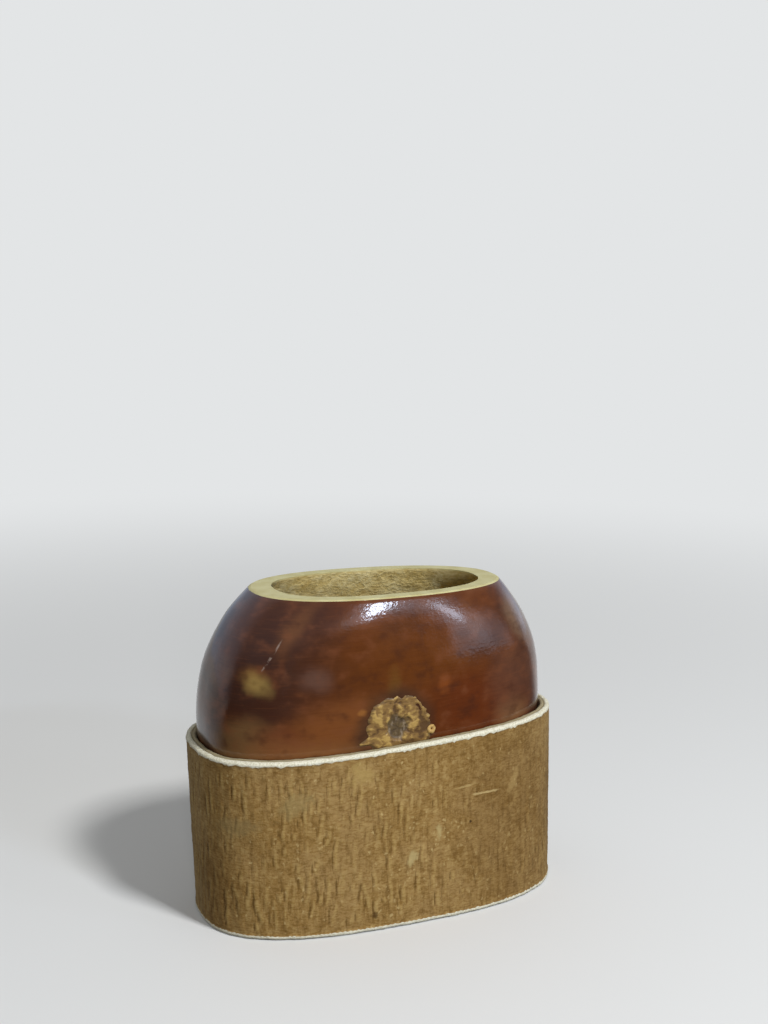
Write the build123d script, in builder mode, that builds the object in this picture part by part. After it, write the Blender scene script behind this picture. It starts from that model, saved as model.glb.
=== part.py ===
# An empty mate gourd: a flat, disc-shaped gourd stood on its edge, cut level at the top to make
# the cup's mouth, and gripped by a stiff band of thick hide that is also its foot.
# X runs along the gourd's width, -Y is the side with the blossom scar, +Z is up.
# The origin is on the surface it stands on, under the middle of its outline. Sizes are millimetres.
import math
import os

from build123d import *

# --- driving dimensions -------------------------------------------------------------------
# the hide band
band_height = 53.6          # at its middle: the upper edge is cut a little off level
band_thickness = 2.8
band_roundness = 2.7        # exponent of the outline: 2 is an ellipse, larger is squarer
band_foot_half = (56.0, 29.5)       # half length and half width where it stands
band_foot_centre = 0.95
band_foot_skew = 0.09       # the right end of the foot is this much fuller than the middle
band_lip_half = (56.9, 28.5)        # the same for the upper edge
band_lip_centre = -0.1
band_lip_skew = -0.08       # and here the left end is the fuller one
band_lip_slope = (0.013, -0.025)    # rise of the upper edge along X and along Y
band_outer_bevel = 0.9      # worn outer corners of the cut hide
band_inner_bevel = 0.3

# the gourd
gourd_centre_x = -0.45
belly_height = 59.2         # height of the disc's middle
belly_half_length = 53.8
belly_half_width = 25.4
upper_radius = 50.1         # from the disc's middle up to where the cut-off top would close
lower_radius = 54.0         # and down to its lowest point
edge_power = 2.15           # roundness of the outline seen from the front
face_power = 2.0            # with cheek_power, how the flat faces curve over to the edge
cheek_power = 2.7
belly_roundness = 2.7       # roundness of a level section at the band
belly_skew = -0.07          # the left end is fuller, like the band's upper edge
mouth_roundness = 2.3      # and at the mouth

# the mouth and the hollow
rim_height = 95.4
rim_slope = -0.018          # the cut falls slightly towards +X
wall_at_edge = 5.2          # the shell is thick round the disc's edge
wall_at_faces = 4.5         # and thinner on its faces
hollow_upper_radius = 46.3
hollow_cheek_power = 3.2
hollow_roundness = 2.4
rim_bevel = 0.4

# the blossom scar, on the front face
scar_centre = (-5.0, 59.5)
scar_pit_radius = 3.7
scar_pit_depth = 0.8

# how finely an outline is drawn, and the angles of the level sections up the gourd
outline_points = 48
outer_angles = (-81, -73, -63, -50, -36, -20, -4, 12, 26, 38, 48, 57)
hollow_angles = (-79, -70, -60, -46, -31, -15, 2, 19, 34, 46, 56, 64)


def outline(half_length, half_width, roundness, skew=0.0):
    """Points round a rounded outline, evenly turned; skew makes the +X end fuller."""
    points = []
    for step in range(outline_points):
        angle = 2 * math.pi * step / outline_points
        across, along = math.cos(angle), math.sin(angle)
        reach = (abs(across) ** roundness + abs(along) ** roundness) ** (-1 / roundness)
        x = half_length * reach * across
        y = half_width * reach * along * (1 + skew * x / half_length)
        points.append((x, y))
    return points


def section_on(plane, points):
    """A level section: the face inside a closed, smooth outline through the points."""
    with BuildSketch(plane) as section:
        with BuildLine():
            Spline(*points, periodic=True)
        make_face()
    return section.sketch.face()


# --- the hide band ------------------------------------------------------------------------
lip_plane = Plane(
    origin=(band_lip_centre, 0, band_height),
    x_dir=(1, 0, band_lip_slope[0]),
    z_dir=(-band_lip_slope[0], -band_lip_slope[1], 1),
)
foot_plane = Plane.XY.move(Location((band_foot_centre, 0, 0)))


def band_sections(inset):
    """The band's foot and lip, taken in by inset from its outer face."""
    foot_size = [half - inset for half in band_foot_half]
    lip_size = [half - inset for half in band_lip_half]
    return [
        section_on(foot_plane, outline(*foot_size, band_roundness, band_foot_skew)),
        section_on(lip_plane, outline(*lip_size, band_roundness, band_lip_skew)),
    ]


with BuildPart() as leather_sleeve:
    loft(band_sections(0), ruled=True)
    loft(band_sections(band_thickness), ruled=True, mode=Mode.SUBTRACT)
    by_height = leather_sleeve.faces().sort_by(Axis.Z)
    for cut_face in (by_height[0], by_height[-1]):
        by_length = cut_face.edges().sort_by(SortBy.LENGTH)
        chamfer(by_length[-1], band_outer_bevel)
    by_height = leather_sleeve.faces().sort_by(Axis.Z)
    for cut_face in (by_height[0], by_height[-1]):
        by_length = cut_face.edges().sort_by(SortBy.LENGTH)
        chamfer(by_length[0], band_inner_bevel)


# --- the gourd ----------------------------------------------------------------------------
def level_sections(angles, half_length, half_width, radii, cheek, roundness_at):
    """Level sections up a rounded body, at angles seen from the middle of the disc."""
    sections = []
    for angle in angles:
        rise = math.sin(math.radians(angle))
        height = belly_height + rise * (radii[0] if rise < 0 else radii[1])
        length = half_length * (1 - abs(rise) ** edge_power) ** (1 / edge_power)
        width = half_width * (1 - abs(rise) ** face_power) ** (1 / cheek)
        plane = Plane.XY.offset(height).move(Location((gourd_centre_x, 0, 0)))
        points = outline(length, width, roundness_at(rise), belly_skew)
        sections.append(section_on(plane, points))
    return sections


def skin_roundness(rise):
    """Level sections of the skin are squarer low down, where the band grips, than at the mouth."""
    share = max(rise, 0) * upper_radius / (rim_height - belly_height)
    return belly_roundness + (mouth_roundness - belly_roundness) * share


skin_sections = level_sections(
    outer_angles,
    belly_half_length,
    belly_half_width,
    (lower_radius, upper_radius),
    cheek_power,
    skin_roundness,
)
hollow_sections = level_sections(
    hollow_angles,
    belly_half_length - wall_at_edge,
    belly_half_width - wall_at_faces,
    (lower_radius - wall_at_edge, hollow_upper_radius),
    hollow_cheek_power,
    lambda rise: hollow_roundness,
)
rim_plane = Plane(
    origin=(gourd_centre_x, 0, rim_height),
    x_dir=(1, 0, rim_slope),
    z_dir=(-rim_slope, 0, 1),
)
pit_sphere_radius = (scar_pit_radius**2 + scar_pit_depth**2) / (2 * scar_pit_depth)
pit_centre_y = -belly_half_width + scar_pit_depth - pit_sphere_radius

with BuildPart() as gourd:
    loft(skin_sections)
    loft(hollow_sections, mode=Mode.SUBTRACT)
    split(bisect_by=rim_plane, keep=Keep.BOTTOM)
    rim_face = gourd.faces().sort_by(Axis.Z)[-1]
    chamfer(rim_face.edges(), rim_bevel)
    with Locations((scar_centre[0], pit_centre_y, scar_centre[1])):
        Sphere(pit_sphere_radius, mode=Mode.SUBTRACT)

# --- labels and files ---------------------------------------------------------------------
leather_sleeve.part.label = "leather_sleeve"
gourd.part.label = "gourd"

os.makedirs("parts", exist_ok=True)
export_step(leather_sleeve.part, "parts/leather_sleeve.step")
export_step(gourd.part, "parts/gourd.step")

box = (leather_sleeve.part + gourd.part).bounding_box()
print("overall size", [round(value, 1) for value in box.size])
print("outline centre", [round(value, 2) for value in box.center()])
print("volumes, cm3", round(gourd.part.volume / 1000, 1), round(leather_sleeve.part.volume / 1000, 1))
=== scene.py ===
# %% [markdown]
# # A mate gourd in its hide band
#
# A mate cup of this kind is the dried shell of a flat, disc-shaped gourd. It is stood on its edge,
# sawn level at the top, and gripped by a stiff band of thick raw hide, which is also its foot.
# The lesson dresses the two CAD solids, the gourd and the band, in modelled skins of the same size.
# The frame is loaded first, because every piece takes its place from it.

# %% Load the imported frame
import math
import random

import bmesh
import bpy
from mathutils import Matrix, Vector, noise


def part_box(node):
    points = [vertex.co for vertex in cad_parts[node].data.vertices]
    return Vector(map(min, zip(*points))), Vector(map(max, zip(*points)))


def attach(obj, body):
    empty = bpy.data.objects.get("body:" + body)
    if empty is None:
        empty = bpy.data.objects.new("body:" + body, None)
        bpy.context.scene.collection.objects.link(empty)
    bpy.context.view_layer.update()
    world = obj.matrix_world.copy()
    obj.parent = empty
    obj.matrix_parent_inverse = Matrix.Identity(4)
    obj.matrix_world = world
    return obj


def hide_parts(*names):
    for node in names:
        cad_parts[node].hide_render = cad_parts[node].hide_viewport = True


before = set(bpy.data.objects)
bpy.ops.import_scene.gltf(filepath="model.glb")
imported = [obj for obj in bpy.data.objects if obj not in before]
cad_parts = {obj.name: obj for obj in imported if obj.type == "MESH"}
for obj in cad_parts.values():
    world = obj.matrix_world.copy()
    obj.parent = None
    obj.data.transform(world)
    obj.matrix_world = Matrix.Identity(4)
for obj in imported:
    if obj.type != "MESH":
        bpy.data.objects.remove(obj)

MM = 0.001
noise.seed_set(5)  # unseeded, noise_vector would bend the scar's flakes anew at every run
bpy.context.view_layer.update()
_, band_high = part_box("leather_sleeve")

# %% [markdown]
# ## The view
#
# The cup is seen from its front left and a little from above, as it stands on a shelf below the eye.
# A camera is easiest to aim with three plain turns: where it faces, how far it dips and how far it
# rolls, so these are multiplied in that order instead of tracking a target.

# %% Camera
camera_spot = Vector((-159.4, -340.5, 184.9)) * MM
camera_turn, camera_dip, camera_roll = (math.radians(angle) for angle in (-25.37, -10.34, 0.83))

bpy.ops.object.camera_add(location=camera_spot)
camera = bpy.context.object
camera.name = "view_camera"
camera.data.sensor_width = 36.0
camera.data.lens = 45.72
camera.rotation_euler = (
    Matrix.Rotation(camera_turn, 3, "Z")
    @ Matrix.Rotation(math.pi / 2 + camera_dip, 3, "X")
    @ Matrix.Rotation(camera_roll, 3, "Z")
).to_euler()
bpy.context.scene.camera = camera
bpy.context.scene.view_settings.view_transform = "Standard"
print("camera is", round(camera_spot.length, 3), "m from the foot")

# %% [markdown]
# ## One outline for every level
#
# Both the gourd and the band are rounded oblongs at every level, neither a box nor an ellipse.
# A superellipse draws such a shape from two half sizes and one exponent, its roundness: 2 is an
# ellipse and larger is squarer. A little skew makes one end fuller, as a real gourd grows.

# %% Outline of a level section
def outline_point(half_length, half_width, roundness, skew, angle):
    """The point of an outline, from its middle, at this angle. Sizes are millimetres."""
    across, along = math.cos(angle), math.sin(angle)
    reach = (abs(across) ** roundness + abs(along) ** roundness) ** (-1 / roundness)
    x = half_length * reach * across
    return x, half_width * reach * along * (1 + skew * x / half_length)


def even_angles(count, *shape, fine=4000):
    """Angles that lie at even distances round an outline, and its length."""
    turns = [2 * math.pi * step / fine for step in range(fine + 1)]
    points = [outline_point(*shape, turn) for turn in turns]
    walked = [0.0]
    for here, there in zip(points, points[1:]):
        walked.append(walked[-1] + math.dist(here, there))
    angles, step = [], 0
    for column in range(count):
        goal = walked[-1] * column / count
        while walked[step + 1] < goal:
            step += 1
        share = (goal - walked[step]) / (walked[step + 1] - walked[step])
        angles.append(turns[step] + share * (turns[1] - turns[0]))
    return angles, walked[-1]

# %% [markdown]
# ## Growing a surface ring by ring
#
# Turned and drawn-up shapes grow well by extruding one ring of edges again and again, and laying
# each new ring in its place. A plain circle starts it. Each vertex carries the number of its column,
# which the extrusion copies, so a new ring always knows which point of the outline it belongs to.

# %% Ring tools
def start_ring(name, spots):
    """A new piece, in edit mode, whose only ring lies on these spots."""
    bpy.ops.object.select_all(action="DESELECT")
    bpy.ops.mesh.primitive_circle_add(vertices=len(spots), radius=MM, fill_type="NOTHING")
    piece = bpy.context.object
    piece.name = piece.data.name = name
    columns = piece.data.attributes.new("column", "INT", "POINT")
    rings = piece.data.attributes.new("ring", "INT", "POINT")
    for number, vertex in enumerate(piece.data.vertices):
        vertex.co = spots[number]
        columns.data[number].value = number
        rings.data[number].value = 0
    bpy.ops.object.mode_set(mode="EDIT")
    bpy.ops.mesh.select_mode(type="EDGE")
    bpy.ops.mesh.select_all(action="SELECT")
    return piece


def add_ring(spots, number, finish=0):
    """Extrudes the selected ring, lays the new one on these spots, and finishes the strip between."""
    bpy.ops.mesh.extrude_edges_move()
    cage = bmesh.from_edit_mesh(bpy.context.object.data)
    column, ring = cage.verts.layers.int["column"], cage.verts.layers.int["ring"]
    for corner in cage.verts:
        if corner.select:
            corner.co = spots[corner[column]]
            corner[ring] = number
            for face in corner.link_faces:
                face.material_index = finish
    bmesh.update_edit_mesh(bpy.context.object.data, loop_triangles=False)


def close_tip():
    """Draws the selected ring together into one point."""
    bpy.ops.mesh.extrude_edges_move()
    bpy.ops.mesh.merge(type="CENTER")


def leave_cage(piece, sharp_angle=40):
    """Ends edit mode with the faces turned outwards and shaded smooth up to this angle, in degrees."""
    bpy.ops.mesh.select_all(action="SELECT")
    bpy.ops.mesh.normals_make_consistent(inside=False)
    bpy.ops.object.mode_set(mode="OBJECT")
    bpy.ops.object.shade_smooth_by_angle(angle=math.radians(sharp_angle))
    print(piece.name, "has", len(piece.data.vertices), "vertices")

# %% [markdown]
# Relief with no fixed place is pressed in with Displace modifiers. Their texture is read through an
# empty, scaled to the size of the grain, so a tall cell makes upright ripples. A vertex group says
# how strongly each place takes it.

# %% Relief tools
def weigh(piece, name, weight_of):
    """A vertex group whose weight at each vertex is what weight_of says of the vertex's number."""
    group = piece.vertex_groups.new(name=name)
    for vertex in piece.data.vertices:
        group.add([vertex.index], weight_of(vertex.index), "REPLACE")


def relief(piece, group, texture, cell, strength, middle=0.5):
    """Presses a texture into a piece. The cell is the grain's size along X, Y and Z, all in mm."""
    bpy.ops.object.empty_add(type="PLAIN_AXES")
    gauge = bpy.context.object
    gauge.scale = [side * MM for side in cell]
    bpy.ops.object.select_all(action="DESELECT")
    piece.select_set(True)
    bpy.context.view_layer.objects.active = piece
    press = piece.modifiers.new(texture.name, "DISPLACE")
    press.texture, press.texture_coords, press.texture_coords_object = texture, "OBJECT", gauge
    press.vertex_group, press.strength, press.mid_level = group, strength * MM, middle
    bpy.context.view_layer.update()
    bpy.ops.object.modifier_apply(modifier=press.name)
    bpy.data.objects.remove(gauge)


def smooth_step(value, low, high):
    """0 at low, 1 at high, with no kink at either."""
    share = min(1.0, max(0.0, (value - low) / (high - low)))
    return share * share * (3 - 2 * share)


def texture_of(kind, name, **settings):
    """A texture for relief, whose own grain is one unit."""
    texture = bpy.data.textures.new(name, kind)
    texture.noise_scale = 1.0
    for setting, value in settings.items():
        setattr(texture, setting, value)
    return texture


clouds = texture_of("CLOUDS", "soft_waves", noise_depth=1)
rough = texture_of("CLOUDS", "torn_grain", noise_depth=4, noise_basis="IMPROVED_PERLIN")

# %% [markdown]
# ## The gourd's form
#
# The skin and the hollow inside are the same kind of body, two stacks of level outlines. The shell
# is thick round the disc's edge and thinner on its faces. The sizes repeat the CAD's, in
# millimetres, because the modelled shell stands exactly where the CAD solid is.

# %% Skin and hollow
belly_height, belly_skew, edge_power = 59.2, -0.07, 2.15
gourd_centre = -0.45
rim_height, rim_slope = 95.4, -0.018
skin = {"length": 53.8, "width": 25.4, "down": 54.0, "up": 50.1, "cheek": 2.7, "belly": 2.7, "mouth": 2.3}
hollow = {"length": 48.6, "width": 20.9, "down": 48.8, "up": 46.3, "cheek": 3.2, "belly": 2.4, "mouth": 2.4}


def level(body, height):
    """Half length, half width and roundness of a body's level section at a height."""
    climb = height - belly_height
    rise = max(-1.0, min(1.0, climb / body["up" if climb > 0 else "down"]))
    length = body["length"] * (1 - abs(rise) ** edge_power) ** (1 / edge_power)
    width = body["width"] * (1 - rise**2) ** (1 / body["cheek"])
    share = max(climb, 0) / (rim_height - belly_height)
    return length, width, body["belly"] + (body["mouth"] - body["belly"]) * share


def shell_spot(body, angle, height, slope=0.0):
    """A body's point at an angle round it, on a plane at a height that slopes along X."""
    x = 0.0
    for _ in range(4):
        x, y = outline_point(*level(body, height + slope * x), belly_skew, angle)
    return Vector((gourd_centre + x, y, height + slope * x)) * MM


def front_skin(x, z):
    """The point of the front skin above x and z, in mm."""
    length, width, roundness = level(skin, z)
    along = max(-1.0, min(1.0, (x - gourd_centre) / length))
    out = width * (1 - abs(along) ** roundness) ** (1 / roundness)
    return Vector((x, -out * (1 + belly_skew * along), z))


columns, _ = even_angles(288, skin["length"], skin["width"], skin["belly"], belly_skew)
print("shell at the mouth, mm:", round(level(skin, rim_height)[0] - level(hollow, rim_height)[0], 1))

# %% [markdown]
# The shell is drawn up from its lowest point to the saw cut, across the cut, and down the inside, so
# it is one closed wall. The rings tilt more and more on the way up, until the last one lies in the
# saw's own plane: a boolean cut would leave slivers there, and the polished skin would show them.

# %% Draw up the shell
SKIN, CUT, PULP = range(3)
rim_bevel = 0.35


def ring_on(body, height):
    """A whole ring of a body, tilted by its share of the saw cut's slope."""
    slope = rim_slope * smooth_step(height, belly_height, rim_height)
    return [shell_spot(body, angle, height, slope) for angle in columns]


def heights(body, first, last, count):
    """Heights up a body at even turns about its middle, from one height to another."""
    ends = []
    for height in (first, last):
        climb = height - belly_height
        ends.append(math.asin(climb / body["up" if climb > 0 else "down"]))
    turns = [ends[0] + (ends[1] - ends[0]) * step / (count - 1) for step in range(count)]
    return [belly_height + math.sin(turn) * body["up" if turn > 0 else "down"] for turn in turns]


skin_heights = heights(skin, belly_height - skin["down"] + 0.05, rim_height - rim_bevel, 92)
pulp_heights = heights(hollow, rim_height - rim_bevel, belly_height - hollow["down"] + 0.05, 84)
outer_edge, inner_edge = ring_on(skin, rim_height), ring_on(hollow, rim_height)
cut_shares = (0.05, 0.1, 0.3, 0.5, 0.7, 0.9, 0.95)

shell = start_ring("gourd_shell", ring_on(skin, skin_heights[0]))
ring_number = 0
for height in skin_heights[1:]:
    ring_number += 1
    add_ring(ring_on(skin, height), ring_number, SKIN)
for share in cut_shares:
    ring_number += 1
    add_ring([a.lerp(b, share) for a, b in zip(outer_edge, inner_edge)], ring_number, CUT)
pulp_ring = ring_number + 1
for height in pulp_heights:
    ring_number += 1
    add_ring(ring_on(hollow, height), ring_number, PULP if height < pulp_heights[0] else CUT)
close_tip()

# %% Close the lowest point
shell_cage = bmesh.from_edit_mesh(shell.data)
for edge in shell_cage.edges:
    edge.select_set(edge.is_boundary)
bpy.ops.mesh.merge(type="CENTER")
leave_cage(shell)

# %% [markdown]
# A gourd is never quite true: its skin has broad, shallow dents, which the polish shows. Inside, the
# pulp was scraped out when dry and left torn fibres. The dents fade out where the band grips.

# %% Dents in the skin, torn pulp inside
shell_rings = [value.value for value in shell.data.attributes["ring"].data]
shell_heights = [vertex.co.z / MM for vertex in shell.data.vertices]
lip_height = band_high.z / MM


def skin_weight(number):
    """How much of a dent the skin takes: none in the band's grip and none at the saw cut."""
    if shell_rings[number] >= pulp_ring - len(cut_shares):
        return 0.0
    above_lip = smooth_step(shell_heights[number], lip_height, lip_height + 12)
    return above_lip * smooth_step(rim_height - shell_heights[number], 1.5, 8)


def pulp_weight(number):
    """How torn the pulp is: all of it inside, less just under the mouth's edge."""
    if shell_rings[number] < pulp_ring:
        return 0.0
    return 0.22 + 0.78 * smooth_step(rim_height - shell_heights[number], 0.6, 4)


weigh(shell, "skin", skin_weight)
weigh(shell, "pulp", pulp_weight)
relief(shell, "skin", clouds, (24, 24, 20), 0.9)
relief(shell, "skin", clouds, (8, 8, 6), 0.12)
relief(shell, "pulp", rough, (5, 5, 4.5), 1.7)
relief(shell, "pulp", rough, (1.7, 1.7, 1.3), 0.7)

# %% [markdown]
# ## The blossom scar
#
# Where the flower fell off, the gourd keeps a corky, ragged patch with a sunken middle. It is harder
# than the skin and stays rough when the rest is polished. It is a thin crust, grown like the shell
# from its torn outline in to the middle. Flat flakes lie on it in steps, drawn out round the pit, and
# the whole stands only a fraction of a millimetre above the skin.

# %% Scar crust
scar_x, scar_z, scar_reach, scar_tall = -4.2, 58.4, 10.2, 9.7
pit_x, pit_z, pit_reach, pit_depth = -4.6, 59.2, 3.6, 0.7
crust_seed = Vector((3.1, 7.7, 1.3))
tail_turn, tail_length = math.radians(194), 0.3
crust_columns, crust_rings = 220, 40
under_shares, under_depth = (0.3, 0.6, 0.85, 1.0), 1.3
first_top_ring = len(under_shares) + 1


def crust_edge(turn):
    """How far the crust reaches at a turn about its middle, as a share of its plain oval."""
    way = Vector((math.cos(turn), math.sin(turn), 0))
    squarer = (abs(way.x) ** 2.5 + abs(way.y) ** 2.5) ** (-1 / 2.5)
    torn = 0.07 * noise.noise(way * 1.5 + crust_seed)
    torn += 0.08 * noise.fractal(way * 5 + crust_seed, 0.8, 2.0, 4)
    tail = tail_length * math.exp(-(((turn - tail_turn) / math.radians(5)) ** 2))
    return squarer + torn + tail


def flakes(x, z):
    """How high the crumpled flakes of the crust stand at x and z, from about 0 to 1."""
    turn, radius = math.atan2(z - pit_z, x - pit_x), math.hypot(x - pit_x, z - pit_z)
    place = Vector((2.2 * math.cos(turn), 2.2 * math.sin(turn), 0.4 * radius)) + crust_seed
    bent = place + 0.45 * noise.noise_vector(place * 1.1)
    steps = 4 * (0.55 + 0.8 * noise.fractal(bent, 0.9, 2.1, 4))
    tread = math.floor(steps)
    return (tread + smooth_step(steps - tread, 0.55, 1.0)) / 4


def in_pit(x, z):
    """1 in the sunken middle of the scar, fading raggedly to 0."""
    wander = 1.5 * noise.noise(Vector((x, 3, z)) * 0.5 + crust_seed)
    from_pit = math.hypot(x - pit_x, (z - pit_z) * 0.9) + wander
    return smooth_step(from_pit, pit_reach + 0.5, pit_reach - 1.6)


def crust_lift(x, z, share):
    """How far the crust stands above the skin, in mm: thin at its edge, sunken in the middle."""
    body = smooth_step(share, 1.0, 0.9) * max(0.06, 0.12 + 0.2 * flakes(x, z))
    grip = smooth_step(z, lip_height - 1.6, lip_height + 0.6)
    return body * grip * (1 - 0.5 * in_pit(x, z)) - pit_depth * in_pit(x, z) + 0.05


def crust_ring(share, under=0.0):
    """A ring of the crust at a share of its reach, on its face or some mm under the skin."""
    spots = []
    for column in range(crust_columns):
        turn = 2 * math.pi * column / crust_columns
        reach = share * crust_edge(turn)
        x, z = scar_x + scar_reach * reach * math.cos(turn), scar_z + scar_tall * reach * math.sin(turn)
        place = front_skin(x, z)
        place.y -= crust_lift(x, z, share) - under
        spots.append(place * MM)
    return spots


crust = start_ring("blossom_scar", crust_ring(0.04, under_depth))
for number, share in enumerate(under_shares):
    add_ring(crust_ring(share, under_depth if share < 1 else 0.4), number + 1)
for number in range(crust_rings):
    add_ring(crust_ring(1 - number / crust_rings * 0.985), number + first_top_ring)
close_tip()
crust_cage = bmesh.from_edit_mesh(crust.data)
for edge in crust_cage.edges:
    edge.select_set(edge.is_boundary)
bpy.ops.mesh.merge(type="CENTER")
leave_cage(crust, 60)
crust_places = [vertex.co / MM for vertex in crust.data.vertices]
for name, values in (
    ("flake_height", [flakes(place.x, place.z) for place in crust_places]),
    ("in_pit", [in_pit(place.x, place.z) for place in crust_places]),
):
    crust.data.attributes.new(name, "FLOAT", "POINT").data.foreach_set("value", values)

# %% Sink the skin under the scar's pit
sink_depth, sink_fade = 1.1, 4.0
for vertex in shell.data.vertices:
    place = vertex.co / MM
    if place.y < 0 and shell_rings[vertex.index] < pulp_ring - len(cut_shares):
        from_pit = math.hypot(place.x - pit_x, place.z - pit_z)
        vertex.co.y += sink_depth * MM * smooth_step(from_pit, pit_reach + sink_fade, pit_reach)

# %% Wax curl beside the scar
curl_spot = front_skin(6.1, 57.0)
bpy.ops.object.select_all(action="DESELECT")
bpy.ops.mesh.primitive_torus_add(
    location=(curl_spot + Vector((0, 0.02, 0))) * MM,
    rotation=(math.radians(86), 0, math.radians(8)),
    major_segments=40,
    minor_segments=14,
    major_radius=0.82 * MM,
    minor_radius=0.6 * MM,
)
curl = bpy.context.object
curl.name = curl.data.name = "wax_curl"
bpy.ops.object.transform_apply(location=True, rotation=True, scale=True)
for vertex in curl.data.vertices:
    vertex.co += noise.noise_vector(vertex.co / MM * 0.9) * 0.22 * MM
bpy.ops.object.shade_smooth()

# %% [markdown]
# ## The hide band
#
# The band is thick raw hide, dried hard round the gourd, with its napped flesh side out. Its cut
# edges are ivory: at the lip the edge is worn round, with a groove where the hide's layers part, and
# the brown nap ends there in small torn teeth. Grain this fine is laid while the wall is drawn up.

# %% Band sizes and torn teeth
band_height, hide_thickness, band_roundness = 53.6, 2.8, 2.7
foot_half, foot_centre, foot_skew = (56.0, 29.5), 0.95, 0.09
lip_half, lip_centre, lip_skew, lip_slope = (56.9, 28.5), -0.1, -0.08, (0.013, -0.025)
face_reach = 0.3  # what lies less than this behind the outer face counts as the face
band_columns, band_length = even_angles(800, 56.4, 29.0, band_roundness, 0.0)
ivory_at_lip, ivory_at_foot = 1.2, 1.1


def torn_teeth(seed, pitch, reach):
    """For each column, how far the torn teeth reach past the border, in mm; no two are alike."""
    dice = random.Random(seed)
    widths = [dice.uniform(*pitch) for _ in range(round(band_length * 2 / sum(pitch)))]
    ends, walked = [], 0.0
    for width in widths:
        walked += width * band_length / sum(widths)
        ends.append(walked)
    depths = [dice.uniform(*reach) for _ in widths]
    leans = [dice.uniform(0.25, 0.75) for _ in widths]
    teeth, tooth = [], 0
    for column in range(len(band_columns)):
        here = band_length * column / len(band_columns)
        while ends[tooth] < here:
            tooth += 1
        start = ends[tooth - 1] if tooth else 0.0
        share, lean = (here - start) / (ends[tooth] - start), leans[tooth]
        teeth.append(depths[tooth] * (share / lean if share < lean else (1 - share) / (1 - lean)))
    return teeth


lip_teeth = torn_teeth(5, (1.0, 2.3), (-0.3, 0.5))
foot_teeth = torn_teeth(8, (0.9, 1.8), (0.05, 0.4))
print("band is", round(band_length), "mm round, with", len(band_columns), "columns")

# %% [markdown]
# Dried hide creases upright where it bends round the gourd, most at the left end and near the foot.
# Each crease is a short, nearly straight groove with a low fold along one side. They are thrown at
# random, and each column of the band lists the creases that cross it, so the wall is drawn quickly.

# %% Throw the creases
column_pitch = band_length / len(band_columns)
crease_dice = random.Random(21)
creases_at = [[] for _ in band_columns]
crease_count, crease_goal = 0, 840
crease_spread = 9  # columns to either side that a crease can reach
while crease_count < crease_goal:
    column = crease_dice.randrange(len(band_columns))
    length = crease_dice.uniform(2.2, 5.5) * crease_dice.uniform(0.8, 2.0)
    bottom = crease_dice.uniform(ivory_at_foot + 0.6, band_height - ivory_at_lip - 1.5 - length)
    x = 56 * math.cos(band_columns[column])
    wanted = 0.08 + 0.55 * smooth_step(x, 25, -30) + 0.37 * smooth_step(bottom, 24, 4)
    if crease_dice.random() < wanted:
        depth = crease_dice.uniform(0.05, 0.2) * (0.5 + 0.5 * wanted)
        crease = (column * column_pitch, bottom, length, crease_dice.uniform(-0.13, 0.13), depth)
        for aside in range(-crease_spread, crease_spread + 1):
            creases_at[(column + aside) % len(band_columns)].append(crease)
        crease_count += 1


def crease_depth(column, up):
    """How deep the creases are at a place on the outer face, in mm. A fold stands proud, below zero."""
    total = 0.0
    for start, bottom, length, lean, depth in creases_at[column]:
        share = (up - bottom) / length
        if 0 < share < 1:
            wander = lean * (share - 0.5) * length + 0.1 * math.sin(1.3 * up + start)
            aside = column * column_pitch - start - wander
            aside -= band_length * round(aside / band_length)
            groove = math.exp(-((aside / 0.25) ** 2))
            fold = math.exp(-(((aside - 0.95) / 0.55) ** 2))
            total += depth * math.sin(math.pi * share) ** 0.7 * (groove - 0.4 * fold)
    return total

# %% Draw the band round
def band_spot(angle, inset, up):
    """A point of the band's wall, in from its outer face and up from its foot, in mm."""
    x, y = outline_point(*(half - inset for half in foot_half), band_roundness, foot_skew, angle)
    foot = Vector((foot_centre + x, y, 0))
    x, y = outline_point(*(half - inset for half in lip_half), band_roundness, lip_skew, angle)
    lip = Vector((lip_centre + x, y, band_height + lip_slope[0] * x + lip_slope[1] * y))
    return foot.lerp(lip, up / band_height) * MM


def past_border(column, up):
    """How far a place on the outer face is below the torn lip border or above the foot's, in mm."""
    from_lip = band_height - up - ivory_at_lip - lip_teeth[column]
    return min(from_lip, up - ivory_at_foot - foot_teeth[column])


def wall_ring(inset, up):
    """A ring of the band's wall, with its creases and its torn border pressed in."""
    spots = []
    for column, angle in enumerate(band_columns):
        pressed = 0.0
        if inset < face_reach:
            border = past_border(column, up)
            pressed = crease_depth(column, up) - 0.16 * smooth_step(border, 0.25, -0.15)
        spots.append(band_spot(angle, inset + pressed, up))
    return spots


foot_profile = [(2.8, 0.6), (2.5, 0.1), (2.2, 0.0), (1.2, 0.0), (0.6, 0.06), (0.22, 0.25), (0.08, 0.5)]
near_foot = [(0.0, 0.8 + 0.3 * step) for step in range(7)]
face_rows = 71
first_row, last_row = 3.0, band_height - 3.3
face = [(0.0, first_row + (last_row - first_row) * row / face_rows) for row in range(face_rows + 1)]
near_lip = [(0.0, band_height - 3.0 + 0.3 * step) for step in range(7)]
lip_drops = [(0.02, 0.95), (0.06, 0.7), (0.2, 0.42), (0.5, 0.2), (0.9, 0.1), (1.2, 0.16), (1.42, 0.4)]
lip_drops += [(1.6, 0.46), (1.78, 0.2), (2.1, 0.04), (2.5, 0.12), (2.8, 0.6)]
lip_profile = [(inset, band_height - drop) for inset, drop in lip_drops]
inner_wall = [(hide_thickness, up) for up in (47, 38, 29, 20, 11, 4)]
profile = foot_profile + near_foot + face + near_lip + lip_profile + inner_wall

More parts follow.
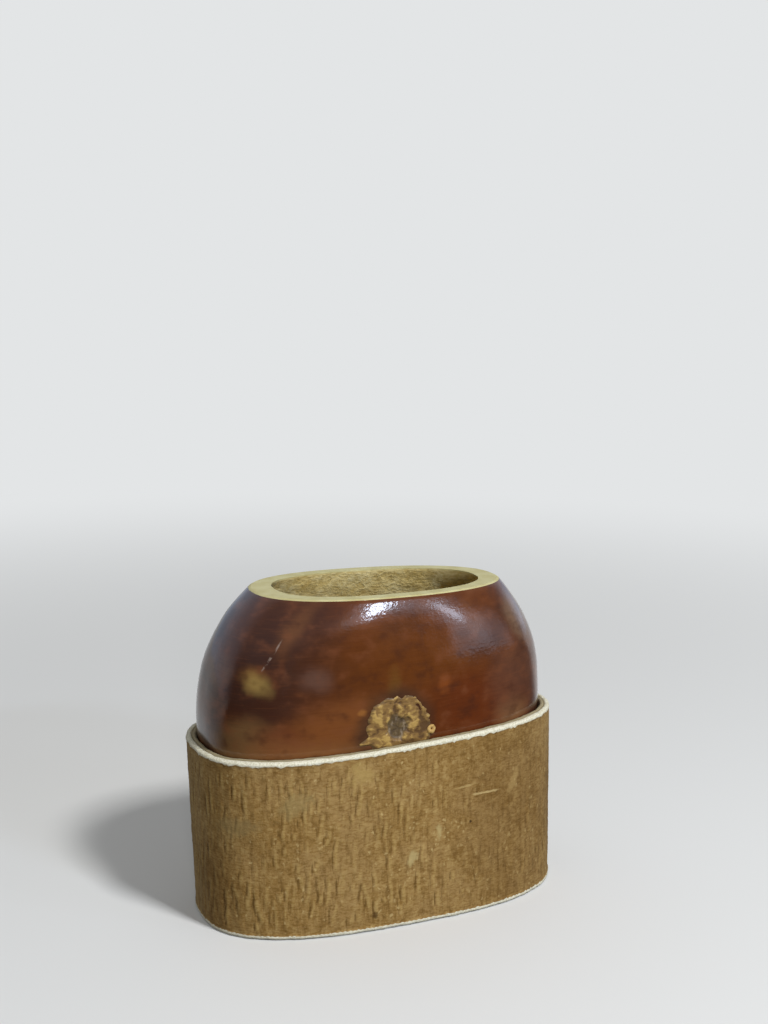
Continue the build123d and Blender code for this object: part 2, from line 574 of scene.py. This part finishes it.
band = start_ring("hide_band", wall_ring(*profile[0]))
for number, place in enumerate(profile[1:] + profile[:1]):
    add_ring(wall_ring(*place), number + 1)
bpy.ops.mesh.select_all(action="SELECT")
bpy.ops.mesh.remove_doubles(threshold=0.001 * MM)
leave_cage(band, 60)

# %% [markdown]
# Three attributes carry the creases, the torn border and the cut edge to the colours; the creases'
# depth is painted there as shade in the grooves and a highlight on the folds. The nap itself, and the
# unevenness of the worn edges, are pressed into the mesh.

# %% Attributes and nap
band_rings = [value.value for value in band.data.attributes["ring"].data]
band_column = [value.value for value in band.data.attributes["column"].data]
border, sunk, inward = [], [], []
for column, ring in zip(band_column, band_rings):
    inset, up = profile[ring % len(profile)]
    outside = inset < face_reach
    border.append(past_border(column, up) if outside else -1.0)
    sunk.append(crease_depth(column, up) if outside else 0.0)
    inward.append(inset)
for name, values in (("sunk", sunk), ("torn_border", border), ("inward", inward)):
    band.data.attributes.new(name, "FLOAT", "POINT").data.foreach_set("value", values)
print("deepest crease, mm:", round(max(sunk), 2))

weigh(band, "nap", lambda number: smooth_step(border[number], 0.0, 1.0))
weigh(band, "edges", lambda number: 0.0 if border[number] > 0.2 else 1.0)
relief(band, "nap", clouds, (16, 16, 18), 0.5)
relief(band, "nap", clouds, (2.6, 2.6, 15), 0.3)
relief(band, "nap", rough, (1.5, 1.5, 1.4), 0.26)
relief(band, "edges", clouds, (5, 5, 5), 0.35)
relief(band, "edges", rough, (1.5, 1.5, 1.2), 0.36)

# %% [markdown]
# ## Finishes
#
# Each finish is one node tree. Colours are written as sRGB hex, the way they are seen, and turned
# linear in one place. One helper adds any node; a list fills several sockets of the same name. Most
# of a finish is then one colour laid over another where some pattern is strong.

# %% Colour and node helpers
def paint(hex_colour):
    """An sRGB hex colour as linear red, green, blue and alpha."""
    parts = [int(hex_colour[place : place + 2], 16) / 255 for place in (1, 3, 5)]
    return (*(part / 12.92 if part <= 0.04045 else ((part + 0.055) / 1.055) ** 2.4 for part in parts), 1.0)


def add(tree, kind, settings=None, **inputs):
    """Adds a node. Settings are its own choices; inputs are values, colours or nodes by socket name."""
    made = tree.nodes.new("ShaderNode" + kind)
    for name, value in (settings or {}).items():
        setattr(made, name, value)
    for name, given in inputs.items():
        sockets = [s for s in made.inputs if s.enabled and s.name == name.replace("_", " ")]
        for socket, value in zip(sockets, given if isinstance(given, list) else [given]):
            if isinstance(value, bpy.types.Node):
                value = next(output for output in value.outputs if output.enabled)
            if isinstance(value, bpy.types.NodeSocket):
                tree.links.new(value, socket)
            else:
                socket.default_value = paint(value) if isinstance(value, str) else value
    return made


def new_finish(name):
    """An empty material with its output node and the piece's own coordinates."""
    finish = bpy.data.materials.new(name)
    finish.use_nodes = True
    finish.node_tree.nodes.clear()
    place = add(finish.node_tree, "TexCoord").outputs["Object"]
    return finish, finish.node_tree, place


def per(x, y, z):
    """The Mapping scale that gives a pattern cells of this many millimetres."""
    return (1 / (x * MM), 1 / (y * MM), 1 / (z * MM))


def oval_distance(tree, place, middle, half_sizes, tilt=0):
    """How far a place is from the middle of a tilted oval: 1 on its edge. Sizes are millimetres."""
    oval = add(
        tree, "Mapping", {"vector_type": "TEXTURE"}, Vector=place,
        Location=tuple(value * MM for value in middle),
        Rotation=(0.0, math.radians(tilt), 0.0),
        Scale=tuple(value * MM for value in half_sizes),
    )
    return add(tree, "VectorMath", {"operation": "LENGTH"}, Vector=oval).outputs["Value"]


SOFT = {"interpolation_type": "SMOOTHSTEP"}
COLOUR = {"data_type": "RGBA"}
TINT = {"data_type": "RGBA", "blend_type": "MULTIPLY"}


def lay(tree, base, over, source, low, high, most=1.0, blend=COLOUR):
    """Lays a colour over a base: none of it where the source is low, the most where it is high."""
    share = add(tree, "MapRange", SOFT, Value=source, From_Min=low, From_Max=high, To_Max=most)
    return add(tree, "Mix", blend, A=base, B=over, Factor=share)

# %% [markdown]
# ** Cured gourd skin.** The green rind dries to a mottled brown and is burnished and lacquered, so
# broad cloudy blotches lie under a clear coat. The eye sees soft colour fields, a few pale scars and
# a sharp shine on top. Noise makes the cloudy ground, and single blotches sit where this gourd has
# them, warped so that none is a neat oval; one lighter strip along the band's lip is painted light
# against the shade under the lip.

# %% Gourd skin: cloudy ground
lacquered, tree, place = new_finish("burnished_gourd_skin")
drift = add(
    tree, "TexNoise", Scale=1.0, Detail=3.0,
    Vector=add(tree, "Mapping", Vector=place, Scale=per(11, 11, 11)),
)
drift_way = add(
    tree, "VectorMath", {"operation": "SUBTRACT"}, Vector=[drift.outputs["Color"], (0.5, 0.5, 0.5)],
)
drift_far = add(tree, "VectorMath", {"operation": "SCALE"}, Vector=drift_way, Scale=6 * MM)
warped = add(tree, "VectorMath", {"operation": "ADD"}, Vector=[place, drift_far])
broad = add(
    tree, "TexNoise", Scale=1.0, Detail=2.0,
    Vector=add(tree, "Mapping", Vector=place, Scale=per(21, 21, 17)),
)
ground = lay(tree, "#3f2417", "#5c3012", broad, 0.38, 0.6)
patchy = add(
    tree, "TexNoise", Scale=1.0, Detail=2.0,
    Vector=add(tree, "Mapping", Vector=place, Scale=per(9, 9, 7)),
)
ground = lay(tree, ground, "#6d4123", patchy, 0.48, 0.8)

# %% Gourd skin: blotches
blotches = [  # middle, half sizes, tilt, colour, strength, softness
    ((-38, -17, 78), (17, 16, 26), 15, "#3a231a", 0.85, 0.6),
    ((0, -25, 76), (27, 12, 17), 0, "#613411", 0.8, 0.6),
    ((24, -23, 62), (22, 10, 10), 0, "#5e2b10", 0.85, 0.6),
    ((44, -10, 74), (13, 16, 20), -10, "#54372a", 0.75, 0.6),
    ((-22, -24, 62), (15, 8, 6), -8, "#7a4823", 0.8, 0.6),
    ((-49, -16, 57), (11, 9, 6), -12, "#6e5030", 0.85, 0.5),
    ((-38, -19, 57), (7, 8, 4.5), 0, "#6b3a20", 0.7, 0.6),
    # painted light: this lighter strip just above the band's lip offsets the shade that the lip casts on
    # the skin
    ((-27, -23, 52.5), (24, 10, 4.5), 2, "#8a5c33", 0.6, 0.7),
    ((-51, -6, 76), (3.6, 6, 5), 0, "#6b4d3a", 0.6, 0.5),
    ((-45.0, -16, 76.0), (2.4, 5, 2.6), -20, "#80542c", 0.65, 0.8),
    ((-43.8, -17, 73.9), (2.3, 5, 3.2), -40, "#8f7541", 0.9, 0.8),
    ((-33, -17, 88), (1.9, 6, 6.5), 40, "#704728", 0.6, 0.9),
    ((-29, -22, 75), (4, 5, 3.6), 0, "#64493e", 0.6, 0.7),
    ((-6.4, -25, 72), (1.6, 4, 4), 0, "#6c4a1d", 0.55, 0.9),
    ((11, -25, 70), (1.7, 4, 2.4), 20, "#84461c", 0.6, 0.6),
    ((36, -20.6, 56.5), (6.5, 7, 5), 10, "#7d5838", 0.8, 0.6),
    ((33, -21, 66), (7, 8, 9), 0, "#63402e", 0.55, 0.6),
    ((40, -14, 84), (4, 6, 7), -20, "#80664f", 0.6, 0.6),
    ((-5.4, -25, 59.1), (11.6, 8, 11.2), 0, "#463122", 0.8, 0.24),
    ((-16.5, -25, 64.2), (1.1, 4, 0.9), 20, "#96612f", 0.75, 0.5),
]
coloured = ground
for middle, half_sizes, tilt, colour, strength, softness in blotches:
    out = oval_distance(tree, warped, middle, half_sizes, tilt)
    coloured = lay(tree, coloured, colour, out, 1 + softness, 1 - softness, strength)
cloudy = add(
    tree, "TexNoise", Scale=1.0, Detail=2.5,
    Vector=add(tree, "Mapping", Vector=place, Scale=per(5.5, 5.5, 4)),
)
coloured = lay(tree, coloured, "#75452a", cloudy, 0.48, 0.8, 0.5)
coloured = lay(tree, coloured, "#3c2015", cloudy, 0.5, 0.22, 0.5)

# %% Gourd skin: brush lines, scratch and shader
brush = add(
    tree, "TexNoise", Scale=1.0, Detail=3.0,
    Vector=add(tree, "Mapping", Vector=place, Scale=per(9, 9, 0.45)),
)
swirls = add(
    tree, "TexNoise", Scale=1.0, Detail=3.0,
    Vector=add(tree, "Mapping", Vector=place, Scale=per(6, 6, 0.5)),
)
coloured = lay(tree, coloured, "#7c4826", swirls, 0.5, 0.8, 0.14)
lined = lay(tree, coloured, "#b8a89c", brush, 0.5, 0.75, 0.16, blend=TINT)
scratch_out = oval_distance(tree, place, (-39.8, -17, 81.5), (0.32, 6, 6.0), 36)
broken = add(
    tree, "TexNoise", Scale=1.0, Detail=2.0,
    Vector=add(tree, "Mapping", Vector=place, Scale=per(1.3, 1.3, 1.3)),
)
scratch_gap = add(tree, "MapRange", SOFT, Value=broken, From_Min=0.35, From_Max=0.7)
scratch = add(tree, "MapRange", SOFT, Value=scratch_out, From_Min=1.1, From_Max=0.5, To_Max=scratch_gap)
marked = add(tree, "Mix", COLOUR, A=lined, B="#8d7a6e", Factor=scratch)
pores = add(
    tree, "TexNoise", Scale=1.0, Detail=2.0,
    Vector=add(tree, "Mapping", Vector=place, Scale=per(1.0, 1.0, 1.0)),
)
uneven = add(tree, "Math", {"operation": "MULTIPLY_ADD"}, Value=[brush, 0.4, pores])
shine_bump = add(tree, "Bump", Height=uneven, Strength=0.15, Distance=0.2 * MM)
gloss = add(
    tree, "BsdfPrincipled", Base_Color=marked, Normal=shine_bump, Coat_Normal=shine_bump,
    Roughness=0.36, IOR=1.45, Specular_IOR_Level=0.06,
    Coat_Weight=0.9, Coat_Roughness=0.12, Coat_IOR=1.5,
)
add(tree, "OutputMaterial", Surface=gloss)

# %% [markdown]
# **Sawn gourd wall.** The dry shell is corky and pale inside its skin. Sawn and rubbed with fine
# paper, the cut is matt and straw yellow, faintly clouded, with the cork's small open pits.

# %% Sawn wall
sawn, tree, place = new_finish("sanded_gourd_wall")
cork = add(
    tree, "TexNoise", Scale=1.0, Detail=3.0,
    Vector=add(tree, "Mapping", Vector=place, Scale=per(6, 6, 6)),
)
straw = lay(tree, "#b7ad79", "#c2ba8a", cork, 0.35, 0.65)
pits = add(
    tree, "TexVoronoi", Scale=1.0, Vector=add(tree, "Mapping", Vector=place, Scale=per(0.9, 0.9, 0.9)),
)
dots = add(
    tree, "MapRange", SOFT, Value=pits.outputs["Distance"], From_Min=0.22, From_Max=0.08, To_Max=0.35,
)
dotted = add(tree, "Mix", COLOUR, A=straw, B="#9c8a52", Factor=dots)
grain = add(
    tree, "TexNoise", Scale=1.0, Detail=3.0,
    Vector=add(tree, "Mapping", Vector=place, Scale=per(0.3, 0.3, 0.3)),
)
saw_bump = add(tree, "Bump", Height=grain, Strength=0.25, Distance=0.1 * MM)
matt = add(tree, "BsdfPrincipled", Base_Color=dotted, Roughness=0.62, IOR=1.45, Normal=saw_bump)
add(tree, "OutputMaterial", Surface=matt)

# %% [markdown]
# **Dry pulp.** The scraped inside is ochre and fibrous: light where fibres stand up, deeper in the
# torn hollows between. The fibres run round the cup, so the noise is short in Z.

# %% Dry pulp
pulp, tree, place = new_finish("scraped_gourd_pulp")
strands = add(
    tree, "TexNoise", Scale=1.0, Detail=6.0, Roughness=0.62,
    Vector=add(tree, "Mapping", Vector=place, Scale=per(1.7, 1.7, 0.9)),
)
ochre = lay(tree, "#c6b277", "#dccd98", strands, 0.36, 0.62)
tufts = add(
    tree, "TexNoise", Scale=1.0, Detail=2.0,
    Vector=add(tree, "Mapping", Vector=place, Scale=per(12, 12, 9)),
)
ochre = lay(tree, ochre, "#f2ead6", tufts, 0.4, 0.65, blend=TINT)
pulp_bump = add(tree, "Bump", Height=strands, Strength=0.9, Distance=0.6 * MM)
fibrous = add(tree, "BsdfPrincipled", Base_Color=ochre, Roughness=0.85, IOR=1.4, Normal=pulp_bump)
add(tree, "OutputMaterial", Surface=fibrous)
for finish in (lacquered, sawn, pulp):
    shell.data.materials.append(finish)

# %% [markdown]
# ** Scar crust.** Cork under worn lacquer: gold-ochre flakes, brown between them and towards the thin
# edge, ash grey in the pit, with a dull wax shine. The steps of the flakes are in the mesh, which
# hands their height to the colours: the high flakes are laid lighter and the hollows between them
# darker, partly the cork's own colour and partly painted highlight and painted shade. The finish
# adds the finer crumbs.

# %% Scar crust finish
corky, tree, place = new_finish("corky_blossom_scar")
flake_height = add(tree, "Attribute", {"attribute_name": "flake_height"}).outputs["Fac"]
pit_share = add(tree, "Attribute", {"attribute_name": "in_pit"}).outputs["Fac"]
crumbs = add(
    tree, "TexNoise", Scale=1.0, Detail=4.0,
    Vector=add(tree, "Mapping", Vector=place, Rotation=(0.0, 0.7, 0.0), Scale=per(2.2, 2.2, 0.8)),
)
height = add(tree, "Math", {"operation": "MULTIPLY_ADD"}, Value=[crumbs, 1.2, flake_height])
# painted light: the higher the flake, the lighter its colour, so the hollows carry painted shade and the
# tops a painted highlight, over the cork's own colour
gold_with_painted_light = lay(tree, "#5c4226", "#86673a", height, 0.6, 1.05)
gold_with_painted_light = lay(tree, gold_with_painted_light, "#b39253", height, 1.1, 1.5)
ashes = add(
    tree, "TexNoise", Scale=1.0, Detail=3.0,
    Vector=add(tree, "Mapping", Vector=place, Scale=per(1.5, 1.5, 2.6)),
)
ash = lay(tree, "#4f4230", "#857765", ashes, 0.45, 0.62)
greyed = lay(tree, gold_with_painted_light, ash, pit_share, 0.0, 1.0, 0.85)
ring_in = add(tree, "Attribute", {"attribute_name": "ring"}).outputs["Fac"]  # least at the torn edge
ragged_ring = add(tree, "Math", {"operation": "MULTIPLY_ADD"}, Value=[crumbs, 16.0, ring_in])
browned = lay(tree, greyed, "#54402a", ragged_ring, 17.5, 12.0, 0.75)
crumb_bump = add(tree, "Bump", Height=crumbs, Strength=0.5, Distance=0.4 * MM)
waxy = add(
    tree, "BsdfPrincipled", Base_Color=browned, Roughness=0.5, IOR=1.45, Normal=crumb_bump,
    Coat_Weight=0.3, Coat_Roughness=0.25,
)
add(tree, "OutputMaterial", Surface=waxy)
crust.data.materials.append(corky)

# %% [markdown]
# **Wax.** A drop of hardened polishing wax, pale honey with a soft shine.

# %% Wax
wax, tree, place = new_finish("hardened_polish_wax")
honey = add(tree, "BsdfPrincipled", Base_Color="#b8965a", Roughness=0.4, IOR=1.44)
add(tree, "OutputMaterial", Surface=honey)
curl.data.materials.append(wax)

# %% [markdown]
# ** Raw hide.** The outer face is napped like suede: golden tan, mottled, with upright creases whose
# grooves carry painted shade and whose folds carry a painted highlight, faint level fibres half a
# millimetre apart, pale flecks, a few scuffs, and painted shade over the right side, the right end
# and the foot of the left end.
# Suede also lights up at grazing angles, which is sheen. Cut hide is ivory, greyer past the groove
# in the lip.

# %% Napped hide: ground, creases with painted shade, and fibre
hide, tree, place = new_finish("napped_raw_hide")
crease_depth_for_painted_light = add(tree, "Attribute", {"attribute_name": "sunk"}).outputs["Fac"]
torn_edge = add(tree, "Attribute", {"attribute_name": "torn_border"}).outputs["Fac"]
inward_depth = add(tree, "Attribute", {"attribute_name": "inward"}).outputs["Fac"]
fields = add(
    tree, "TexNoise", Scale=1.0, Detail=3.0,
    Vector=add(tree, "Mapping", Vector=place, Scale=per(15, 15, 13)),
)
tan = lay(tree, "#947441", "#9f804f", fields, 0.38, 0.62)
mottle = add(
    tree, "TexNoise", Scale=1.0, Detail=4.0, Roughness=0.6,
    Vector=add(tree, "Mapping", Vector=place, Scale=per(2.0, 2.0, 2.3)),
)
tan = lay(tree, tan, "#b0935e", mottle, 0.5, 0.68, 0.7)
tan = lay(tree, tan, "#7b5d2f", mottle, 0.48, 0.34, 0.5)
upright = add(
    tree, "TexNoise", Scale=1.0, Detail=3.0,
    Vector=add(tree, "Mapping", Vector=place, Scale=per(1.3, 1.3, 7)),
)
tan = lay(tree, tan, "#735529", upright, 0.52, 0.7, 0.5)
tan = lay(tree, tan, "#a98b57", upright, 0.46, 0.34, 0.5)
# painted shade in the crease grooves and a painted highlight on the folds beside them
tan = lay(tree, tan, "#61471f", crease_depth_for_painted_light, 0.01, 0.14, 0.75)
tan = lay(tree, tan, "#b5985f", crease_depth_for_painted_light, -0.005, -0.06, 0.6)
fibre = add(
    tree, "TexNoise", Scale=1.0, Detail=3.0, Roughness=0.6,
    Vector=add(tree, "Mapping", Vector=place, Scale=per(1.5, 1.5, 0.5)),
)
tan = lay(tree, tan, "#ded5c2", fibre, 0.42, 0.66, blend=TINT)
napped = add(
    tree, "TexNoise", Scale=1.0, Detail=3.0,
    Vector=add(tree, "Mapping", Vector=place, Scale=per(0.5, 0.5, 0.5)),
)
tan = lay(tree, tan, "#b09360", napped, 0.5, 0.75, 0.4)

# %% Napped hide: flecks and scuffs
shifted = add(
    tree, "VectorMath", {"operation": "SUBTRACT"}, Vector=[mottle.outputs["Color"], (0.5, 0.5, 0.5)],
)
shifted = add(tree, "VectorMath", {"operation": "SCALE"}, Vector=shifted, Scale=3 * MM)
ragged_place = add(tree, "VectorMath", {"operation": "ADD"}, Vector=[place, shifted])
cells = add(
    tree, "TexVoronoi", Scale=1.0,
    Vector=add(tree, "Mapping", Vector=ragged_place, Scale=per(1.8, 1.8, 2.2)),
)
some = add(tree, "MapRange", SOFT, Value=cells.outputs["Color"], From_Min=0.5, From_Max=0.8, To_Max=0.65)
flecks = add(
    tree, "MapRange", SOFT, Value=cells.outputs["Distance"], From_Min=0.3, From_Max=0.1, To_Max=some,
)
tan = add(tree, "Mix", COLOUR, A=tan, B="#c4aa74", Factor=flecks)
# painted shade: darker tints over the right side, the right end and the foot of the left end
painted_shades = [  # middle, half sizes, colour, strength
    ((34, -24, 25), (26, 16, 45), "#d0c8bc", 0.7),
    ((58, -12, 25), (10, 16, 34), "#b5a284", 0.8),
    ((-58, -12, 12), (10, 16, 20), "#b5a284", 0.45),
]
for middle, half_sizes, colour, strength in painted_shades:
    out = oval_distance(tree, place, middle, half_sizes)
    tan = lay(tree, tan, colour, out, 1.2, 0.4, strength, blend=TINT)
scuffs = [  # middle, half sizes, tilt, colour, strength
    ((23, -28, 35.9), (4.8, 4, 0.4), 2, "#c9b07a", 0.65),
    ((16.5, -28, 39), (4.2, 4, 0.35), -3, "#c2a870", 0.5),
    ((34, -26, 37.5), (1.4, 4, 5), 30, "#b3965f", 0.45),
    ((-1, -29, 20.7), (1.9, 4, 3), 12, "#b8a470", 0.75),
    ((7.5, -29, 27), (1.2, 4, 2.6), 0, "#b8a470", 0.65),
    ((-17, -29, 48), (4, 4, 3.6), 25, "#b3975b", 0.6),
    ((-36, -26, 41), (6, 6, 3.4), -25, "#9a8657", 0.5),
    ((-50, -17, 34), (7, 9, 3), -12, "#8f7c52", 0.45),
    ((17.8, -28.5, 28.2), (0.5, 4, 0.5), 0, "#3d2a14", 0.9),
    ((-12.5, -28.7, 5), (1.1, 4, 1.1), 0, "#4a3115", 0.7),
]
for middle, half_sizes, tilt, colour, strength in scuffs:
    out = oval_distance(tree, place, middle, half_sizes, tilt)
    ragged = add(tree, "Math", {"operation": "MULTIPLY_ADD"}, Value=[mottle, 2.4, out])
    tan = lay(tree, tan, colour, ragged, 2.4, 1.6, strength)

# %% Raw hide: ivory edges and shader
fine_tear = add(tree, "Math", {"operation": "MULTIPLY_ADD"}, Value=[napped, 0.35, torn_edge])
ivory = lay(tree, "#c8c2a8", "#e0dcc8", napped, 0.35, 0.6)
ivory = lay(tree, ivory, "#93876a", inward_depth, 1.1, 1.45)
hide_colour = lay(tree, ivory, tan, fine_tear, 0.08, 0.26)
pile = add(tree, "Math", {"operation": "MULTIPLY_ADD"}, Value=[fibre, 0.2, napped])
pile_bump = add(tree, "Bump", Height=pile, Strength=0.5, Distance=0.2 * MM)
suede = add(
    tree, "BsdfPrincipled", Base_Color=hide_colour, Roughness=0.9, IOR=1.4, Normal=pile_bump,
    Sheen_Weight=0.12, Sheen_Roughness=0.5, Sheen_Tint="#e8d3a8",
)
add(tree, "OutputMaterial", Surface=suede)
band.data.materials.append(hide)

# %% [markdown]
# ## Into the frame
#
# The pieces ride on the part's one body and stand for the two CAD solids.

# %% Ride and replace
for piece, node, slot in (
    (shell, "gourd", "gourd_skin"),
    (crust, "gourd", "gourd_skin"),
    (curl, "gourd", "gourd_skin"),
    (band, "leather_sleeve", "raw_hide"),
):
    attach(piece, "root")
    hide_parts(node)

# %% [markdown]
# ## Floor and light
#
# The floor is plain and pale. Two lamps light the cup and are hidden from its polish: the key stands
# low at the front left, so that the mouth's far end stays in the rim's shadow, and one high at the
# front right lights the saw cut. The shine is made apart from them. Two small lamps stand where the
# polished skin mirrors them to the eye, which is how a photographer places a highlight, and the room
# has soft bright patches that only the polish sees. The floor too shows the eye a pale card and the
# polish a dark shelf with a pale wall behind it.

# %% Floor
backdrop_colour = "#e3e5e6"
daylight = "#d0e0f7"
bpy.ops.object.select_all(action="DESELECT")
bpy.ops.mesh.primitive_plane_add(size=12.0, location=(0, 0, -0.05 * MM))
floor = bpy.context.object
floor.name = "floor"
card, tree, place = new_finish("matt_pale_card")
away = add(tree, "VectorMath", {"operation": "LENGTH"}, Vector=place).outputs["Value"]
is_far = add(tree, "MapRange", SOFT, Value=away, From_Min=0.12, From_Max=0.75)
is_seen = add(tree, "LightPath").outputs["Is Camera Ray"]
seen_far = add(tree, "Math", {"operation": "MULTIPLY"}, Value=[is_far, is_seen])
in_polish = add(tree, "LightPath").outputs["Is Glossy Ray"]
from_front = add(tree, "SeparateXYZ", Vector=place).outputs["Y"]
is_behind = add(tree, "MapRange", SOFT, Value=from_front, From_Min=0.0, From_Max=0.1)
mirrored_wall = add(tree, "Math", {"operation": "MULTIPLY"}, Value=[is_behind, in_polish])
to_right = add(tree, "VectorMath", {"operation": "DOT_PRODUCT"}, Vector=[place, (1.0, -0.47, 0.0)])
wall_light = add(
    tree, "MapRange", SOFT, Value=to_right, From_Min=-0.03, From_Max=0.05, To_Min=0.68, To_Max=1.1,
)
lit_wall = add(tree, "Math", {"operation": "MULTIPLY"}, Value=[mirrored_wall, wall_light])
backdrop = add(tree, "Math", {"operation": "MAXIMUM"}, Value=[seen_far, lit_wall])
board_colour = add(tree, "Mix", COLOUR, A="#38383a", B="#dededc", Factor=is_seen)
board = add(tree, "BsdfDiffuse", Color=board_colour)
haze = add(tree, "Emission", Color=backdrop_colour, Strength=1.0)
add(tree, "OutputMaterial", Surface=add(tree, "MixShader", Fac=backdrop, Shader=[board, haze]))
floor.data.materials.append(card)

# %% Lamps
def mirrored_way(x, z):
    """The way in which the front skin, at x and z in mm, mirrors the camera's look."""
    spot = front_skin(x, z)
    slope_x, slope_z = front_skin(x + 0.1, z) - spot, front_skin(x, z + 0.1) - spot
    facing = slope_x.cross(slope_z).normalized()
    return (spot * MM - camera_spot).normalized().reflect(facing)


def streak_lamp(name, start, end, far, tall, power):
    """A soft lamp that the skin shows as a streak from start to end, each an x and z in mm."""
    first, last = mirrored_way(*start), mirrored_way(*end)
    way = (first + last).normalized()
    across = last - first
    level_across = (across - way * across.dot(way)).normalized()
    bpy.ops.object.light_add(type="AREA", location=front_skin(*start) * MM + way * far)
    lamp = bpy.context.object
    lamp.name = name
    lamp.rotation_euler = Matrix((level_across, way.cross(level_across), way)).transposed().to_euler()
    lamp.data.shape, lamp.data.size, lamp.data.size_y = "ELLIPSE", across.length * far, tall
    lamp.data.energy, lamp.data.color = power, paint(daylight)[:3]
    print(name, "is", round(across.length * far, 2), "m wide, towards", [round(part, 2) for part in way])


def hidden_lamp(name, way, far, size, power):
    """A square soft lamp that lights the cup from a way but is not mirrored in its polish."""
    bpy.ops.object.light_add(type="AREA", location=way * far)
    lamp = bpy.context.object
    lamp.name = name
    lamp.rotation_euler = way.to_track_quat("Z", "Y").to_euler()
    lamp.data.size, lamp.data.energy = size, power
    lamp.visible_glossy = False


streak_lamp("shine_lamp", (-12.6, 93.0), (-4.0, 94.2), 1.2, 0.045, 2.6)
streak_lamp("side_shine_lamp", (7.3, 92.6), (20.3, 86.4), 1.2, 0.12, 0.9)
hidden_lamp("key_lamp", Vector((-0.33, -0.92, 0.20)).normalized(), 1.2, 0.20, 4.7)
hidden_lamp("top_lamp", Vector((0.22, -0.56, 0.80)).normalized(), 1.3, 0.18, 11.0)

# %% World
world = bpy.data.worlds.new("pale_room")
world.use_nodes = True
world.node_tree.nodes.clear()
tree = world.node_tree
sky = add(tree, "TexCoord").outputs["Generated"]
way = add(tree, "SeparateXYZ", Vector=sky)
from_above = add(tree, "MapRange", SOFT, Value=way.outputs["Z"], From_Min=0.1, From_Max=0.55, To_Max=0.27)
from_wall = add(tree, "MapRange", SOFT, Value=way.outputs["Y"], From_Min=-0.1, From_Max=0.5, To_Max=0.42)
brightest = add(tree, "Math", {"operation": "MAXIMUM"}, Value=[from_above, from_wall])
strength = add(tree, "Math", {"operation": "ADD"}, Value=[brightest, 0.05])
shines = [  # where the skin shows it, x and z in mm; how far it reaches, degrees; strength
    ((-20, 90.5), 11, 0.2),
    ((-14, 92.2), 8, 1.9),
    ((-4, 93.8), 8, 1.8),
    ((8, 91.5), 10, 1.3),
    ((15, 89.5), 11, 1.7),
    ((20, 83.5), 14, 1.7),
    ((30, 80.0), 15, 1.0),
    ((45, 76.0), 20, 1.0),
    ((49, 67.0), 18, 0.8),
]
mirrored = 0.0
for spot, reach, shine in shines:
    nearness = add(tree, "VectorMath", {"operation": "DOT_PRODUCT"}, Vector=[sky, mirrored_way(*spot)])
    patch = add(
        tree, "MapRange", SOFT, Value=nearness, From_Min=math.cos(math.radians(reach)), To_Max=shine,
    )
    mirrored = add(tree, "Math", {"operation": "ADD"}, Value=[patch, mirrored])
side_wall = add(tree, "MapRange", SOFT, Value=way.outputs["Y"], From_Min=-0.05, From_Max=0.3, To_Max=0.35)
mirrored = add(tree, "Math", {"operation": "ADD"}, Value=[side_wall, mirrored])
in_polish = add(tree, "LightPath").outputs["Is Glossy Ray"]
strength = add(tree, "Math", {"operation": "MULTIPLY_ADD"}, Value=[mirrored, in_polish, strength])
room_colour = add(tree, "Mix", COLOUR, A="#f2f4f6", B=daylight, Factor=in_polish)
room = add(tree, "Background", Color=room_colour, Strength=strength)
seen_room = add(tree, "Background", Color=backdrop_colour, Strength=1.0)
is_seen = add(tree, "LightPath").outputs["Is Camera Ray"]
add(tree, "OutputWorld", Surface=add(tree, "MixShader", Fac=is_seen, Shader=[room, seen_room]))
bpy.context.scene.world = world
